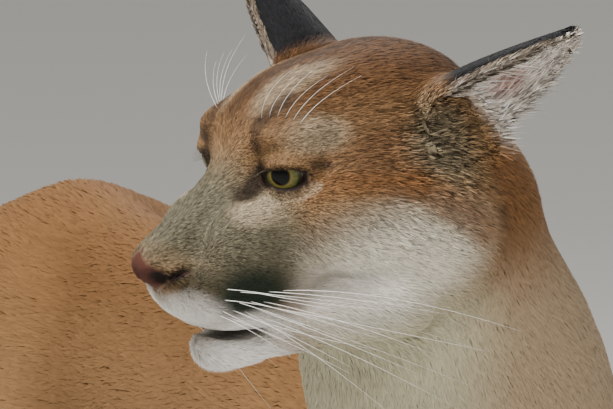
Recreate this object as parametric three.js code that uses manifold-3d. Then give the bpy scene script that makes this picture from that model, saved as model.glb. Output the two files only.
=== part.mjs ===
// A life-size cougar, standing with its head turned to its right.
// Millimetres. The body faces +X, its left is +Y, up is +Z and the soles are at z = 0.
import * as THREE from "three";
import ManifoldModule from "manifold-3d";

const { Manifold, Mesh, setup } = await ManifoldModule().then((m) => (m.setup(), m));

// Driving sizes
const SHOULDER_HEIGHT = 690;
const RUMP_HEIGHT = 708;
const PAW_WIDTH = 98;
const EYE_RADIUS = 15;
const EYE_SPREAD = 34;
const GAP = 0.3;

// Where the head is and how it is held
const EYES_AT = [380, -250, 855];
const HEAD_TURN = -89;
const HEAD_NOD = 6.4;
const HEAD_ROLL = 1;

// Steps of the four feet, forward of their resting places
const STEP_FRONT_LEFT = 28;
const STEP_FRONT_RIGHT = -34;
const STEP_HIND_LEFT = -30;
const STEP_HIND_RIGHT = 45;

// Facets: the spacing of the first net and how many triangles are kept of it
const HEAD_NET = { spacing: 5.6, keep: 2700 };
const EAR_NET = { spacing: 2.8, keep: 300 };
const BODY_NET = { spacing: 15, keep: 2200 };
const TAIL_NET = { spacing: 15, keep: 420 };
const PAW_NET = { spacing: 9, keep: 280 };

const COAT = { color: 0xb08458, roughness: 0.9, metalness: 0 };
const PALE = { color: 0xe4dccb, roughness: 0.9, metalness: 0 };
const DARK_COAT = { color: 0x4a3a2c, roughness: 0.9, metalness: 0 };
const NOSE_SKIN = { color: 0x8a5a52, roughness: 0.55, metalness: 0 };
const EYE = { color: 0x8f9a4c, roughness: 0.1, metalness: 0 };

const radians = THREE.MathUtils.degToRad;
const turn = new THREE.Matrix4()
  .makeRotationZ(radians(HEAD_TURN))
  .multiply(new THREE.Matrix4().makeRotationY(radians(HEAD_NOD)))
  .multiply(new THREE.Matrix4().makeRotationX(radians(HEAD_ROLL)));
const headPlace = new THREE.Matrix4().makeTranslation(...EYES_AT).multiply(turn);
const headInverse = headPlace.clone().invert();

function through(matrix, p) {
  const e = matrix.elements;
  return [
    e[0] * p[0] + e[4] * p[1] + e[8] * p[2] + e[12],
    e[1] * p[0] + e[5] * p[1] + e[9] * p[2] + e[13],
    e[2] * p[0] + e[6] * p[1] + e[10] * p[2] + e[14],
  ];
}

// Soft shapes: each is a function of a point that is negative inside

function ellipsoid(centre, radii, splay = 0) {
  const c = Math.cos(radians(splay));
  const s = Math.sin(radians(splay));
  const [rx, ry, rz] = radii;
  return (p) => {
    const dx = p[0] - centre[0];
    const dy = p[1] - centre[1];
    const x = (dx * c + dy * s) / rx;
    const y = (dy * c - dx * s) / ry;
    const z = (p[2] - centre[2]) / rz;
    const near = Math.hypot(x, y, z);
    const steep = Math.hypot(x / rx, y / ry, z / rz);
    return steep > 1e-9 ? (near * (near - 1)) / steep : -Math.min(rx, ry, rz);
  };
}

// A rod with round ends that tapers from one point to the other; flat narrows it from side to side
function limb(from, to, thickFrom, thickTo, flat = 1) {
  const ax = to[0] - from[0];
  const ay = (to[1] - from[1]) / flat;
  const az = to[2] - from[2];
  const length2 = ax * ax + ay * ay + az * az;
  return (p) => {
    const x = p[0] - from[0];
    const y = (p[1] - from[1]) / flat;
    const z = p[2] - from[2];
    const t = Math.min(1, Math.max(0, (x * ax + y * ay + z * az) / length2));
    const away = Math.hypot(x - t * ax, y - t * ay, z - t * az);
    return (away - thickFrom - (thickTo - thickFrom) * t) * flat;
  };
}

function blend(a, b, soft) {
  const h = Math.max(soft - Math.abs(a - b), 0);
  return Math.min(a, b) - (h * h) / (4 * soft);
}

const join = (soft, first, ...others) => (p) => {
  let d = first(p);
  for (const other of others) {
    d = blend(d, other(p), soft);
  }
  return d;
};

const carve = (soft, shape, tool) => (p) => -blend(-shape(p), tool(p), soft);

const bothSides = (soft, shape) => (p) =>
  shape([p[0], Math.sqrt(p[1] * p[1] + soft * soft) - soft, p[2]]);

// Head, in its own frame: +X to the nose, origin midway between the eyes

const EYE_CENTRE = [2, EYE_SPREAD, 1];
const EYE_SPLAY = 38;
const LEFT_EAR = { base: [-99, 59, 12], tip: [-157, 98, 55], opens: [0.12, 0.79, -0.58] };
const RIGHT_EAR = { base: [-63, -55, 33], tip: [-56, -96, 98], opens: [0.5, -0.87, -0.03] };
const EAR_HALF_WIDTH = 31;
const EAR_TAPER = 0.6;
const EAR_CUP = 25;
const EAR_HALF_THICK = 3.6;
const EAR_ROOT = 0.25;

const skull = join(
  20,
  ellipsoid([-69, 0, 7], [71, 57, 51]),
  ellipsoid([-20, 0, 7], [46, 43, 43]),
  bothSides(4, ellipsoid([-34, 42, -30], [48, 30, 36])),
  bothSides(4, ellipsoid([-72, 42, -48], [44, 34, 44])),
  ellipsoid([-62, 0, -68], [62, 46, 38]),
);
const brows = bothSides(4, ellipsoid([0, 27, 19], [19, 18, 12]));
const muzzle = join(
  12,
  limb([4, 0, -4], [68, 0, -41], 23, 15),
  bothSides(4, ellipsoid([20, 22, -46], [40, 22, 36])),
  ellipsoid([42, 0, -61], [33, 31, 27]),
);
const whiskerPads = bothSides(3, ellipsoid([46, 19, -62], [25, 19, 21]));
const chin = join(6, ellipsoid([39, 0, -99], [20, 21, 16]), ellipsoid([40, 0, -86], [20, 23, 9]));
const jawBars = bothSides(3, limb([28, 13, -95], [-46, 46, -80], 14, 26));
const noseTip = join(
  5,
  ellipsoid([76, 0, -44], [13, 15, 12]),
  bothSides(2, ellipsoid([72, 12, -47], [9, 8, 7])),
);
const socket = bothSides(3, ellipsoid([12, 40, -1], [17, 15, 10], 40));
const lids = bothSides(3, ellipsoid(EYE_CENTRE, [EYE_RADIUS + 2.4, EYE_RADIUS + 2.4, EYE_RADIUS + 2.4]));
const lidOpening = bothSides(3, ellipsoid([14.5, 44, 0], [10, 13, 7], EYE_SPLAY));

function earAxes({ base, tip, opens }) {
  const root = new THREE.Vector3(...base);
  const up = new THREE.Vector3(...tip).sub(root);
  const height = up.length();
  up.normalize();
  const face = new THREE.Vector3(...opens);
  face.addScaledVector(up, -face.dot(up)).normalize();
  return { root, up, height, face, across: new THREE.Vector3().crossVectors(up, face) };
}

// A cupped leaf: widest low down, drawn in to a rounded tip, hollow on the side that it opens to
function earLeaf(ear) {
  const { root, up, height, face, across } = earAxes(ear);
  const q = new THREE.Vector3();
  return (p) => {
    q.set(...p).sub(root);
    const h = q.dot(up) / height;
    const rise = Math.min(1, Math.max(0, h));
    const sunk = Math.min(0, Math.max(-EAR_ROOT, h)) / (1.05 * EAR_ROOT);
    const width = Math.max(4, EAR_HALF_WIDTH * (1 - rise) ** EAR_TAPER * Math.sqrt(1 - sunk * sunk));
    const cup = EAR_CUP * (1 - 0.62 * rise);
    const side = q.dot(across) / width;
    const middle = -cup * (1 - Math.min(side * side, 1.3)) + 6 * rise * rise;
    const slope = Math.hypot(1, (2 * cup * side) / width);
    const thick = Math.abs(q.dot(face) - middle) / slope - EAR_HALF_THICK * (1 - 0.25 * rise);
    const edge = Math.max((Math.abs(side) - 1) * width * 0.8, (h - 1) * height, (-EAR_ROOT - h) * height);
    return edge > -2 && thick > -2 ? Math.hypot(edge + 2, thick + 2) - 2 : Math.max(edge, thick);
  };
}

const face = join(
  10,
  join(5, join(8, join(14, skull, brows, muzzle), whiskerPads), noseTip),
  join(12, chin, jawBars),
);
const eyedFace = carve(2.5, join(5, carve(6, face, socket), lids), lidOpening);
const headShape = join(9, eyedFace, earLeaf(LEFT_EAR), earLeaf(RIGHT_EAR));

// Body

const chestAndBelly = join(
  40,
  limb([215, 0, 535], [40, 0, 545], 132, 128, 0.8),
  limb([40, 0, 545], [-210, 0, 572], 122, 102, 0.84),
  limb([225, 0, SHOULDER_HEIGHT - 46], [-320, 0, RUMP_HEIGHT - 46], 42, 46),
  ellipsoid([-340, 0, 607], [114, 88, 98]),
  ellipsoid([272, 0, 520], [76, 90, 102]),
);
const shoulders = bothSides(8, limb([218, 50, 640], [300, 78, 490], 48, 62, 0.78));
const thighs = bothSides(
  8,
  join(
    30,
    limb([-345, 56, 595], [-250, 86, 425], 94, 70, 0.74),
    limb([-405, 48, 590], [-345, 74, 410], 56, 48, 0.84),
  ),
);

const TAIL_PATH = [
  [-400, 0, 632, 42], [-470, 0, 600, 35], [-535, 4, 525, 31], [-575, 8, 425, 29], [-598, 12, 320, 28],
  [-622, 18, 225, 28], [-672, 26, 150, 29], [-740, 34, 122, 27], [-800, 40, 132, 18],
];
const tail = join(
  6,
  ...TAIL_PATH.slice(1).map((end, i) => {
    const start = TAIL_PATH[i];
    return limb(start.slice(0, 3), end.slice(0, 3), start[3], end[3]);
  }),
);

const neck = join(
  45,
  limb([262, 0, 575], [331, -91, 705], 112, 84),
  limb([331, -91, 705], [370, -142, 806], 84, 76),
);

function paw(x, y, size) {
  const toes = [-1.5, -0.5, 0.5, 1.5].map((k) =>
    limb(
      [x + 16 * size, y + k * 19 * size, 40 * size],
      [x + (62 - 5 * k * k) * size, y + k * 22 * size, 19 * size],
      18 * size,
      16 * size,
    ));
  const heel = ellipsoid([x - 4 * size, y, 18 * size], [34 * size, 33 * size, 22 * size]);
  const back = ellipsoid([x + 12 * size, y, 38 * size], [42 * size, 42 * size, 32 * size]);
  return join(10, join(4, back, ...toes), heel);
}

const PAW_SIZE = PAW_WIDTH / 98;

function frontLeg(side, step) {
  const wrist = [234 + step * 0.7, 80 * side, 160];
  const ankle = [240 + step, 79 * side, 60];
  return join(
    14,
    join(
      22,
      limb([300, 80 * side, 495], [214, 84 * side, 405], 60, 52, 0.84),
      limb([214, 84 * side, 405], [222 + step * 0.3, 82 * side, 300], 50, 44, 0.9),
      limb([222 + step * 0.3, 82 * side, 300], wrist, 43, 32),
    ),
    limb(wrist, ankle, 33, 35),
    paw(ankle[0], ankle[1], PAW_SIZE),
  );
}

function hindLeg(side, step) {
  const hock = [-410 + step * 0.7, 80 * side, 212];
  const ankle = [-374 + step, 78 * side, 58];
  return join(
    12,
    join(
      22,
      limb([-250, 88 * side, 430], [-240, 90 * side, 385], 66, 58, 0.84),
      limb([-248, 90 * side, 392], hock, 56, 28, 0.9),
      limb([-330, 80 * side, 400], [hock[0] - 14, hock[1], 228], 40, 19, 0.8),
    ),
    ellipsoid([hock[0] - 8, hock[1], 214], [28, 24, 30]),
    limb(hock, ankle, 27, 29),
    paw(ankle[0], ankle[1], PAW_SIZE * 0.92),
  );
}

const legs = [
  frontLeg(1, STEP_FRONT_LEFT),
  frontLeg(-1, STEP_FRONT_RIGHT),
  hindLeg(1, STEP_HIND_LEFT),
  hindLeg(-1, STEP_HIND_RIGHT),
];
const body = join(24, join(35, chestAndBelly, shoulders, thighs), ...legs);
const whole = join(22, join(45, join(30, body, tail), neck), (p) => headShape(through(headInverse, p)));

// A net over the shape: every cell of a grid is six slim wedges, and the surface cuts each in one or two facets

const CORNERS = [0, 1, 2, 3, 4, 5, 6, 7].map((n) => [n & 1, (n >> 1) & 1, (n >> 2) & 1]);
const WEDGES = [[1, 3], [1, 5], [2, 3], [2, 6], [4, 5], [4, 6]].map(([a, b]) => [0, a, b, 7]);

function sampleGrid(shape, low, high, spacing) {
  const count = low.map((v, i) => Math.ceil((high[i] - v) / spacing) + 1);
  const index = (i, j, k) => i + count[0] * (j + count[1] * k);
  const at = (i, j, k) => [low[0] + i * spacing, low[1] + j * spacing, low[2] + k * spacing];
  const values = new Float64Array(count[0] * count[1] * count[2]);
  const block = 6;
  for (let k = 0; k < count[2]; k += block) {
    for (let j = 0; j < count[1]; j += block) {
      for (let i = 0; i < count[0]; i += block) {
        const half = (block - 1) / 2;
        const middle = shape(at(i + half, j + half, k + half));
        const far = Math.abs(middle) > block * spacing * 1.5;
        for (let c = k; c < Math.min(k + block, count[2]); c += 1) {
          for (let b = j; b < Math.min(j + block, count[1]); b += 1) {
            for (let a = i; a < Math.min(i + block, count[0]); a += 1) {
              values[index(a, b, c)] = far ? middle : shape(at(a, b, c));
            }
          }
        }
      }
    }
  }
  return { values, count, index, at };
}

function slopeOf(shape, p, reach) {
  return [0, 1, 2].map((axis) => {
    const ahead = p.slice();
    const behind = p.slice();
    ahead[axis] += reach;
    behind[axis] -= reach;
    return (shape(ahead) - shape(behind)) / (2 * reach);
  });
}

function settle(shape, p, limit) {
  const slope = slopeOf(shape, p, 0.5);
  const steep = Math.max(0.05, slope[0] ** 2 + slope[1] ** 2 + slope[2] ** 2);
  const move = shape(p) / steep;
  const length = Math.abs(move) * Math.sqrt(steep);
  const share = length > limit ? limit / length : 1;
  return p.map((v, i) => v - slope[i] * move * share);
}

// The facets of one wedge, as pairs of its corners with the surface between them
function wedgeFacets(wedge, inside) {
  const within = wedge.filter((corner) => inside[corner]);
  const outside = wedge.filter((corner) => !inside[corner]);
  const ring = [];
  if (within.length === 2) {
    const [a, b] = within;
    const [c, d] = outside;
    ring.push([a, c], [a, d], [b, d], [b, c]);
  } else {
    within.forEach((a) => outside.forEach((b) => ring.push([a, b])));
  }
  const middle = (corners) => [0, 1, 2].map((i) =>
    corners.reduce((sum, corner) => sum + CORNERS[corner][i], 0) / corners.length);
  const outward = middle(outside).map((v, i) => v - middle(within)[i]);
  const normal = normalOf(...ring.slice(0, 3).map(middle));
  if (normal[0] * outward[0] + normal[1] * outward[1] + normal[2] * outward[2] < 0) {
    ring.reverse();
  }
  return ring.length === 3 ? [ring] : [ring.slice(0, 3), [ring[0], ring[2], ring[3]]];
}

function netOver(shape, low, high, spacing) {
  const { values, count, index, at } = sampleGrid(shape, low, high, spacing);
  const numbers = new Map();
  const points = [];
  const triangles = [];
  const crossing = (cell, a, b) => {
    const [from, to] = a < b ? [a, b] : [b, a];
    const start = cell.map((v, i) => v + CORNERS[from][i]);
    const end = cell.map((v, i) => v + CORNERS[to][i]);
    const first = index(...start);
    const last = index(...end);
    const key = first * values.length + last;
    if (!numbers.has(key)) {
      const t = Math.min(0.95, Math.max(0.05, values[first] / (values[first] - values[last])));
      const p = at(...start.map((v, i) => v + t * (end[i] - v)));
      numbers.set(key, points.length);
      points.push(settle(shape, p, spacing * 0.15));
    }
    return numbers.get(key);
  };
  for (let k = 0; k < count[2] - 1; k += 1) {
    for (let j = 0; j < count[1] - 1; j += 1) {
      for (let i = 0; i < count[0] - 1; i += 1) {
        const inside = CORNERS.map(([a, b, c]) => values[index(i + a, j + b, k + c)] < 0);
        if (inside.some((v) => v !== inside[0])) {
          for (const wedge of WEDGES.filter((w) => w.some((c) => inside[c] !== inside[w[0]]))) {
            for (const facet of wedgeFacets(wedge, inside)) {
              triangles.push(facet.map(([a, b]) => crossing([i, j, k], a, b)));
            }
          }
        }
      }
    }
  }
  return { points, triangles };
}

// Thinning: the edges whose loss moves the surface least go first

function planeQuadric(a, b, c) {
  const u = b.map((v, i) => v - a[i]);
  const w = c.map((v, i) => v - a[i]);
  const n = [u[1] * w[2] - u[2] * w[1], u[2] * w[0] - u[0] * w[2], u[0] * w[1] - u[1] * w[0]];
  const area = Math.hypot(...n) || 1e-12;
  const [x, y, z] = n.map((v) => v / area);
  const d = -(x * a[0] + y * a[1] + z * a[2]);
  return [x * x, x * y, x * z, x * d, y * y, y * z, y * d, z * z, z * d, d * d].map((v) => v * area);
}

function quadricError(q, [x, y, z]) {
  return q[0] * x * x + 2 * q[1] * x * y + 2 * q[2] * x * z + 2 * q[3] * x
    + q[4] * y * y + 2 * q[5] * y * z + 2 * q[6] * y + q[7] * z * z + 2 * q[8] * z + q[9];
}

function normalOf(a, b, c) {
  const u = b.map((v, i) => v - a[i]);
  const w = c.map((v, i) => v - a[i]);
  return [u[1] * w[2] - u[2] * w[1], u[2] * w[0] - u[0] * w[2], u[0] * w[1] - u[1] * w[0]];
}

function thin({ points, triangles }, keep, shape) {
  const place = points.map((p) => p.slice());
  let faces = triangles.map((t) => t.slice());
  const quadrics = place.map(() => new Array(10).fill(0));
  for (const [a, b, c] of faces) {
    const q = planeQuadric(place[a], place[b], place[c]);
    for (const v of [a, b, c]) {
      q.forEach((value, i) => {
        quadrics[v][i] += value;
      });
    }
  }
  while (faces.length > keep) {
    const around = place.map(() => []);
    faces.forEach((face, f) => face.forEach((v) => around[v].push(f)));
    const neighbours = (v) => new Set(around[v].flatMap((f) => faces[f]).filter((w) => w !== v));
    const edges = [];
    for (const face of faces) {
      for (let i = 0; i < 3; i += 1) {
        const a = face[i];
        const b = face[(i + 1) % 3];
        if (a < b) {
          const q = quadrics[a].map((v, n) => v + quadrics[b][n]);
          const middle = place[a].map((v, n) => (v + place[b][n]) / 2);
          const spots = [middle, place[a], place[b]];
          const errors = spots.map((spot) => quadricError(q, spot));
          const best = errors.indexOf(Math.min(...errors));
          const length = Math.hypot(...place[a].map((v, n) => v - place[b][n]));
          edges.push({ a, b, q, spot: spots[best], cost: errors[best] + length * length * length * 0.002 });
        }
      }
    }
    edges.sort((one, other) => one.cost - other.cost);
    const touched = new Uint8Array(place.length);
    const gone = new Set();
    const most = Math.max(20, Math.min(edges.length * 0.12, (faces.length - keep) / 2));
    let done = 0;
    for (const { a, b, q, spot } of edges) {
      if (done >= most) {
        break;
      }
      const near = neighbours(a);
      const far = neighbours(b);
      const shared = [...near].filter((v) => far.has(v)).length;
      const busy = touched[a] || touched[b] || [...near, ...far].some((v) => touched[v]);
      if (busy || shared !== 2) {
        continue;
      }
      const flips = [...around[a], ...around[b]].some((f) => {
        const face = faces[f];
        if (face.includes(a) && face.includes(b)) {
          return false;
        }
        const before = normalOf(...face.map((v) => place[v]));
        const after = normalOf(...face.map((v) => (v === a || v === b ? spot : place[v])));
        const dot = before[0] * after[0] + before[1] * after[1] + before[2] * after[2];
        return dot < 0.3 * Math.hypot(...before) * Math.hypot(...after);
      });
      if (flips) {
        continue;
      }
      for (const f of around[b]) {
        if (faces[f].includes(a)) {
          gone.add(f);
        } else {
          faces[f][faces[f].indexOf(b)] = a;
        }
      }
      place[a] = spot;
      quadrics[a] = q;
      touched[a] = 1;
      touched[b] = 1;
      for (const v of [...near, ...far]) {
        touched[v] = 1;
      }
      done += 1;
    }
    if (done === 0) {
      break;
    }
    faces = faces.filter((face, f) => !gone.has(f));
  }
  const used = new Map();
  for (const v of faces.flat()) {
    if (!used.has(v)) {
      used.set(v, used.size);
    }
  }
  const kept = [...used.keys()].map((v) => settle(shape, place[v], 0.8));
  return { points: kept, triangles: faces.map((face) => face.map((v) => used.get(v))) };
}

// Solids and the cuts between them

function solidOf({ points, triangles }) {
  return new Manifold(new Mesh({
    numProp: 3,
    vertProperties: new Float32Array(points.flat()),
    triVerts: new Uint32Array(triangles.flat()),
  }));
}

// Joins points that fall together on a fine grid and leaves out what folds flat
function weld(points, triangles, grain) {
  const places = new Map();
  const kept = [];
  const number = points.map((p) => {
    const rounded = p.map((v) => Math.round(v / grain) * grain);
    const key = p.map((v) => Math.round(v / grain)).join();
    if (!places.has(key)) {
      places.set(key, kept.length);
      kept.push(rounded);
    }
    return places.get(key);
  });
  const faces = new Map();
  for (const triangle of triangles) {
    const t = triangle.map((v) => number[v]);
    const key = t.slice().sort((a, b) => a - b).join();
    if (new Set(t).size === 3 && !faces.delete(key)) {
      faces.set(key, t);
    }
  }
  return { points: kept, triangles: [...faces.values()] };
}

function threes(list) {
  return Array.from({ length: list.length / 3 }, (_, i) => [list[3 * i], list[3 * i + 1], list[3 * i + 2]]);
}

function solidFromGeometry(geometry) {
  return solidOf(weld(threes(geometry.attributes.position.array), threes(geometry.index.array), 0.001));
}

function box(low, high, place = new THREE.Matrix4()) {
  const size = high.map((v, i) => v - low[i]);
  const middle = high.map((v, i) => (v + low[i]) / 2);
  const geometry = new THREE.BoxGeometry(...size).translate(...middle).applyMatrix4(place);
  return solidFromGeometry(geometry);
}

function ball(centre, radius) {
  return solidFromGeometry(new THREE.SphereGeometry(radius, 16, 10).translate(...centre));
}

// Everything on the side of a plane that its normal points to
function sideOf(point, normal, back = 0) {
  const far = 3000;
  const along = new THREE.Vector3(...normal).normalize();
  const turnTo = new THREE.Quaternion().setFromUnitVectors(new THREE.Vector3(0, 0, 1), along);
  const place = new THREE.Matrix4().compose(new THREE.Vector3(...point), turnTo, new THREE.Vector3(1, 1, 1));
  return box([-far, -far, back], [far, far, far], place);
}

function largestPiece(solid) {
  const { vertProperties, triVerts } = solid.getMesh();
  const pieces = solidOf(weld(threes(vertProperties), threes(triVerts), 0.02)).decompose();
  return pieces.reduce((best, piece) => (piece.volume() > best.volume() ? piece : best));
}

const parts = [];

function addPart(name, solid, look) {
  parts.push({ name, solid: largestPiece(solid), look });
}

// Takes a part out of a solid with a box and gives back what is left, a gap away from it
function takeOut(rest, name, low, high, look, place) {
  addPart(name, rest.intersect(box(low, high, place)), look);
  const grown = box(low.map((v) => v - GAP), high.map((v) => v + GAP), place);
  return rest.subtract(grown);
}

// Head
const NECK_CUT = { point: [-98, 0, -54], normal: [0.75, 0, 0.66] };
const cutPoint = through(headPlace, NECK_CUT.point);
const cutNormal = new THREE.Vector3(...NECK_CUT.normal).normalize().transformDirection(headPlace).toArray();
const onHeadSide = (p) =>
  (p[0] - cutPoint[0]) * cutNormal[0] + (p[1] - cutPoint[1]) * cutNormal[1] + (p[2] - cutPoint[2]) * cutNormal[2];

const HEAD_LOW = [-215, -135, -200];
const HEAD_HIGH = [105, 135, 125];
const headArea = (p) => Math.max(
  whole(through(headPlace, p)),
  ...p.map((v, i) => Math.max(HEAD_LOW[i] + 10 - v, v - HEAD_HIGH[i] + 10)),
);
const headNet = thin(netOver(headArea, HEAD_LOW, HEAD_HIGH, HEAD_NET.spacing), HEAD_NET.keep, headArea);
let head = solidOf(headNet).intersect(sideOf(NECK_CUT.point, NECK_CUT.normal, GAP / 2));

function earCut(ear) {
  const { root, up, face: opening, across } = earAxes(ear);
  return new THREE.Matrix4().makeBasis(across.negate(), opening, up).setPosition(root);
}

const EAR_CUT_HEIGHT = 22;
const headParts = [
  ["nose", [66, -16, -59], [110, 16, -35], NOSE_SKIN],
  ["lower_jaw", [-8, -60, -180], [110, 60, -86], PALE],
];
for (const [name, low, high, look] of headParts) {
  head = takeOut(head, name, low, high, look);
}
for (const [name, ear] of [["ear_left", LEFT_EAR], ["ear_right", RIGHT_EAR]]) {
  const { root, up } = earAxes(ear);
  const rise = (p) => (p[0] - root.x) * up.x + (p[1] - root.y) * up.y + (p[2] - root.z) * up.z;
  const area = (p) => Math.max(headShape(p), EAR_CUT_HEIGHT - 9 - rise(p));
  const low = ear.tip.map((v, i) => Math.min(v, ear.base[i]) - 50);
  const high = ear.tip.map((v, i) => Math.max(v, ear.base[i]) + 50);
  const net = thin(netOver(area, low, high, EAR_NET.spacing), EAR_NET.keep, area);
  addPart(name, solidOf(net).intersect(box([-60, -60, EAR_CUT_HEIGHT], [60, 60, 150], earCut(ear))), COAT);
  head = head.subtract(box([-60, -60, EAR_CUT_HEIGHT - GAP], [60, 60, 150], earCut(ear)));
}
for (const [name, side] of [["eye_left", 1], ["eye_right", -1]]) {
  const centre = [EYE_CENTRE[0], EYE_CENTRE[1] * side, EYE_CENTRE[2]];
  head = head.subtract(ball(centre, EYE_RADIUS + GAP));
  addPart(name, ball(centre, EYE_RADIUS), EYE);
}
addPart("head", head, COAT);
for (const part of parts) {
  part.solid = part.solid.transform(headPlace.elements);
}

// Paws, finer than the rest of the body
const PAW_TOP = 88;
const pawPlaces = [
  ["front_paw_left", 240 + STEP_FRONT_LEFT, 79],
  ["front_paw_right", 240 + STEP_FRONT_RIGHT, -79],
  ["hind_paw_left", -374 + STEP_HIND_LEFT, 78],
  ["hind_paw_right", -374 + STEP_HIND_RIGHT, -78],
];
for (const [name, x, y] of pawPlaces) {
  const low = [x - 80, y - 70, -24];
  const high = [x + 110, y + 70, PAW_TOP + 32];
  const area = (p) => Math.max(whole(p), p[2] - PAW_TOP - 14);
  const net = thin(netOver(area, low, high, PAW_NET.spacing), PAW_NET.keep, area);
  addPart(name, solidOf(net).intersect(box([x - 200, y - 200, 0], [x + 200, y + 200, PAW_TOP])), COAT);
}

// Body
const bodyArea = (p) => Math.max(whole(p), onHeadSide(p) - 30, PAW_TOP - 25 - p[2]);
const BODY_LOW = [-860, -360, 40];
const BODY_HIGH = [520, 220, 980];
const bodyNet = thin(netOver(bodyArea, BODY_LOW, BODY_HIGH, BODY_NET.spacing), BODY_NET.keep, bodyArea);
const tailEnd = (p) => Math.max(whole(p), p[0] + 480, p[2] - 262);
const tailNet = thin(netOver(tailEnd, [-860, -60, 60], [-440, 120, 300], TAIL_NET.spacing), TAIL_NET.keep, tailEnd);
let rest = solidOf(bodyNet).intersect(sideOf(cutPoint, cutNormal.map((v) => -v), GAP / 2));
const bodyParts = [
  ["tail_base", [-1000, -300, 430 + GAP], [-450, 300, 900], COAT],
  ["tail_middle", [-1000, -300, 230 + GAP], [-500, 300, 430], COAT],
];
for (const [name, low, high, look] of bodyParts) {
  rest = takeOut(rest, name, low, high, look);
}
addPart("tail_tip", solidOf(tailNet).intersect(box([-1000, -300, 0], [-500, 300, 230])), DARK_COAT);
rest = rest.subtract(box([-1000, -300, -50], [-500, 300, 230 + GAP]));

const LEG_INNER = 32;
for (const [side, name] of [[1, "left"], [-1, "right"]]) {
  const inner = LEG_INNER * side;
  const outer = 300 * side;
  const y = [Math.min(inner, outer), Math.max(inner, outer)];
  const cuts = [
    ["front_leg_lower", 100, 420, PAW_TOP + GAP, 290],
    ["front_leg_upper", 100, 420, 290 + GAP, 452],
    ["hind_leg_lower", -520, -130, PAW_TOP + GAP, 275],
    ["hind_leg_upper", -520, -130, 275 + GAP, 452],
  ];
  for (const [leg, back, front, bottom, top] of cuts) {
    rest = takeOut(rest, `${leg}_${name}`, [back, y[0], bottom], [front, y[1], top], COAT);
  }
}
rest = rest.intersect(box([-900, -400, PAW_TOP + GAP], [900, 400, 1200]));

const NECK_ROOT = { point: [300, -28, 640], normal: [0.48, -0.37, 0.79] };
const below = NECK_ROOT.normal.map((v) => -v);
addPart("neck", rest.intersect(sideOf(NECK_ROOT.point, NECK_ROOT.normal, GAP / 2)), COAT);
rest = rest.intersect(sideOf(NECK_ROOT.point, below, GAP / 2));
rest = takeOut(rest, "hips", [-600, -300, 0], [-170, 300, 900], COAT);
rest = takeOut(rest, "belly", [-170 + GAP, -300, 0], [70, 300, 900], COAT);
addPart("chest", rest, COAT);

// The finished parts, with the origin under the middle of the whole

const bounds = new THREE.Box3();
for (const { solid } of parts) {
  const { min, max } = solid.boundingBox();
  bounds.expandByPoint(new THREE.Vector3(...min));
  bounds.expandByPoint(new THREE.Vector3(...max));
}
const shift = [-(bounds.min.x + bounds.max.x) / 2, -(bounds.min.y + bounds.max.y) / 2, -bounds.min.z];

const group = new THREE.Group();
group.name = "cougar";
for (const { name, solid, look } of parts) {
  const { vertProperties, triVerts } = solid.translate(shift).getMesh();
  const geometry = new THREE.BufferGeometry();
  geometry.setAttribute("position", new THREE.BufferAttribute(new Float32Array(vertProperties), 3));
  geometry.setIndex([...triVerts]);
  geometry.computeVertexNormals();
  const mesh = new THREE.Mesh(geometry, new THREE.MeshStandardMaterial(look));
  mesh.name = name;
  group.add(mesh);
}

export default group;
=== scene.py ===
import math
import bpy
import numpy as np
from mathutils import Matrix, Vector


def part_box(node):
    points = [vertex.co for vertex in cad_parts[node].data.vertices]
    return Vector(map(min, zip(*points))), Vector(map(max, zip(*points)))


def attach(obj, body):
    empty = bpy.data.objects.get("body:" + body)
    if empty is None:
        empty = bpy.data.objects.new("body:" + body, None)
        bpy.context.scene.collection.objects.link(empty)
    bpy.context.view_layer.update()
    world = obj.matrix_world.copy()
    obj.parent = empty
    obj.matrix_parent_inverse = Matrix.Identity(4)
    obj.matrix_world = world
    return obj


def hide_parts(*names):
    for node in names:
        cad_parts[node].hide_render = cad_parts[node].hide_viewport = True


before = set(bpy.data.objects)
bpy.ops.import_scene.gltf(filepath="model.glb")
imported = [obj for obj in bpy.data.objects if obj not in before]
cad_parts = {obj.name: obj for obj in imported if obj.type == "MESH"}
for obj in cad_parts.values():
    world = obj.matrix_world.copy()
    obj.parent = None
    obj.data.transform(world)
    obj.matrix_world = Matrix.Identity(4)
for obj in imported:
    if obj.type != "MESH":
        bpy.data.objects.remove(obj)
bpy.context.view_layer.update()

random = np.random.default_rng(7)
MM = 0.001

# Driving sizes, in millimetres, in the animal's own frame: it faces +X, its left is +Y, soles at z = 0
SHOULDER_HEIGHT = 690.0
RUMP_HEIGHT = 708.0
PAW_SIZE = 1.0
HIND_PAW_SHARE = 0.92
BACK_THICK = 46.0
EYE_RADIUS = 15.0
EYES_AT = (380.0, -250.0, 855.0)
HEAD_TURN, HEAD_NOD, HEAD_ROLL = -89.0, 6.4, 1.0
STEP_FRONT = {1: 28.0, -1: -34.0}
STEP_HIND = {1: -30.0, -1: 45.0}

# The net over the skin: its cells, the box that it fills, and the box round the head with fine cells
HEAD_CELL = 2.4
BODY_CELL = 6.6
CELL_GROWTH = 0.12
NET_LOW, NET_HIGH = (-835, -350, -14), (500, 165, 975)
HEAD_LOW, HEAD_HIGH = (272.0, -345.0, 725.0), (492.0, -100.0, 965.0)

# The coat: how deep the skin lies under its tips, and how many tufts it has
HEAD_COAT = 2.6
BODY_COAT = 7.0
FOOT_COAT = 3.0
FACE_TUFTS = 235000
BODY_TUFTS = 250000
TUFTS_A_PIECE = 64000


# Vectors, smooth steps and frames

def vec(*values):
    return np.array(values, np.float32)


def unit(v):
    return v / np.linalg.norm(v)


def unit_rows(v, least=1e-6):
    return v / np.maximum(np.linalg.norm(v, axis=1, keepdims=True), least)


def ramp(value, low, high):
    """0 up to low, 1 from high, and a smooth rise between them."""
    t = np.clip((value - low) / (high - low), 0.0, 1.0)
    return t * t * (3.0 - 2.0 * t)


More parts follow.
